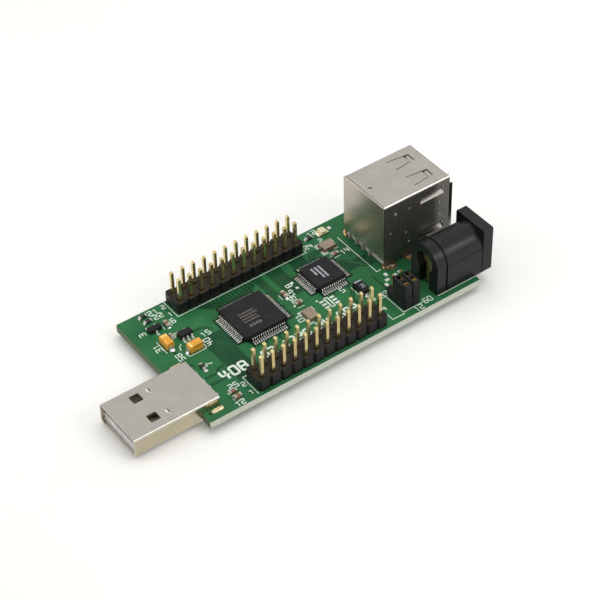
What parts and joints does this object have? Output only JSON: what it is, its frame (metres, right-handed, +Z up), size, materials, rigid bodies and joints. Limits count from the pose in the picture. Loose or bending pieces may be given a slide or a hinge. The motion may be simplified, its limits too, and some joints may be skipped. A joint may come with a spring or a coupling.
{
  "type": "usb interface board",
  "caption": "Small green circuit board with a USB-A plug at one end, stacked USB-A receptacles and a DC jack at the other, twin pin headers and removable jumper shunts.",
  "frame": {"origin": "middle of the footprint, level with the tips of the solder tails it rests on", "axes": "+X along the board from the USB plug towards the receptacles, +Y towards the edge without the jack, +Z up out of the component side"},
  "size_m": [0.0838, 0.033, 0.0194],
  "materials": {
    "laminate": "green solder mask over glass laminate",
    "nickel_shell": "nickel-plated sheet, satin",
    "gold_contact": "pale gold flash",
    "tinned_metal": "tinned, satin",
    "black_plastic": "moulded, fine texture",
    "chip_epoxy": "moulded epoxy",
    "pale_plastic": "moulded",
    "tantalum_case": "moulded epoxy, orange yellow",
    "capacitor_ceramic": "fired ceramic",
    "resistor_body": "glazed black film on ceramic",
    "ceramic_base": "fired ceramic",
    "led_body": "clear resin over white"
  },
  "bodies": {
    "board_assembly": {"circuit_board": "laminate", "usb_plug_shell": "nickel_shell", "usb_plug_insulator": "pale_plastic", "usb_plug_contact_1": "gold_contact", "usb_plug_contact_2": "gold_contact", "usb_plug_contact_3": "gold_contact", "usb_plug_contact_4": "gold_contact", "front_header_insulator": "black_plastic", "rear_header_insulator": "black_plastic", "front_header_pins_row_1": "gold_contact", "front_header_pins_row_2": "gold_contact", "rear_header_pins_row_1": "gold_contact", "rear_header_pins_row_2": "gold_contact", "jumper_header_insulator": "black_plastic", "jumper_header_pins": "gold_contact", "bridge_chip": "chip_epoxy", "hub_chip": "chip_epoxy", "crystal_left_base": "ceramic_base", "crystal_right_base": "ceramic_base", "crystal_left_lid": "tinned_metal", "crystal_right_lid": "tinned_metal", "tantalum_capacitor_1": "tantalum_case", "tantalum_capacitor_2": "tantalum_case", "rectifier_diode": "chip_epoxy", "switching_transistor": "chip_epoxy", "voltage_regulator": "chip_epoxy", "status_led": "led_body", "chip_resistor_1": "resistor_body", "chip_resistor_2": "resistor_body", "chip_resistor_3": "resistor_body", "chip_resistor_4": "resistor_body", "chip_capacitor_1": "capacitor_ceramic", "chip_capacitor_2": "capacitor_ceramic", "chip_capacitor_3": "capacitor_ceramic", "chip_capacitor_4": "capacitor_ceramic", "chip_capacitor_5": "capacitor_ceramic", "chip_capacitor_6": "capacitor_ceramic", "chip_capacitor_7": "capacitor_ceramic", "dual_usb_shell": "nickel_shell", "dual_usb_rear_cover": "nickel_shell", "dual_usb_divider": "nickel_shell", "dual_usb_insulator": "pale_plastic", "dual_usb_lower_contact_1": "gold_contact", "dual_usb_lower_contact_2": "gold_contact", "dual_usb_lower_contact_3": "gold_contact", "dual_usb_lower_contact_4": "gold_contact", "dual_usb_upper_contact_1": "gold_contact", "dual_usb_upper_contact_2": "gold_contact", "dual_usb_upper_contact_3": "gold_contact", "dual_usb_upper_contact_4": "gold_contact", "dc_jack_housing": "black_plastic", "dc_jack_centre_pin": "tinned_metal", "dc_jack_rear_terminal": "tinned_metal", "dc_jack_sleeve_terminal": "tinned_metal", "dc_jack_switch_contact": "tinned_metal"},
    "shunt_1": {"jumper_shunt_1_cap": "black_plastic", "jumper_shunt_1_clip": "gold_contact"},
    "shunt_2": {"jumper_shunt_2_cap": "black_plastic", "jumper_shunt_2_clip": "gold_contact"},
    "sleeve_spring": {"dc_jack_sleeve_spring": "tinned_metal"}
  },
  "joints": [
    {"name": "shunt_1_lift", "type": "slide", "parent": "board_assembly", "child": "shunt_1", "axis": [0, 0, 1], "range_m": [0, 0.006]},
    {"name": "shunt_2_lift", "type": "slide", "parent": "board_assembly", "child": "shunt_2", "axis": [0, 0, 1], "range_m": [0, 0.006]},
    {"name": "sleeve_spring_flex", "type": "hinge", "parent": "board_assembly", "child": "sleeve_spring", "pos_m": [0.0357, -0.01097, 0.00383], "axis": [0, -1, 0], "range_deg": [0, 10], "stiffness_Nm_per_rad": 0.001}
  ]
}
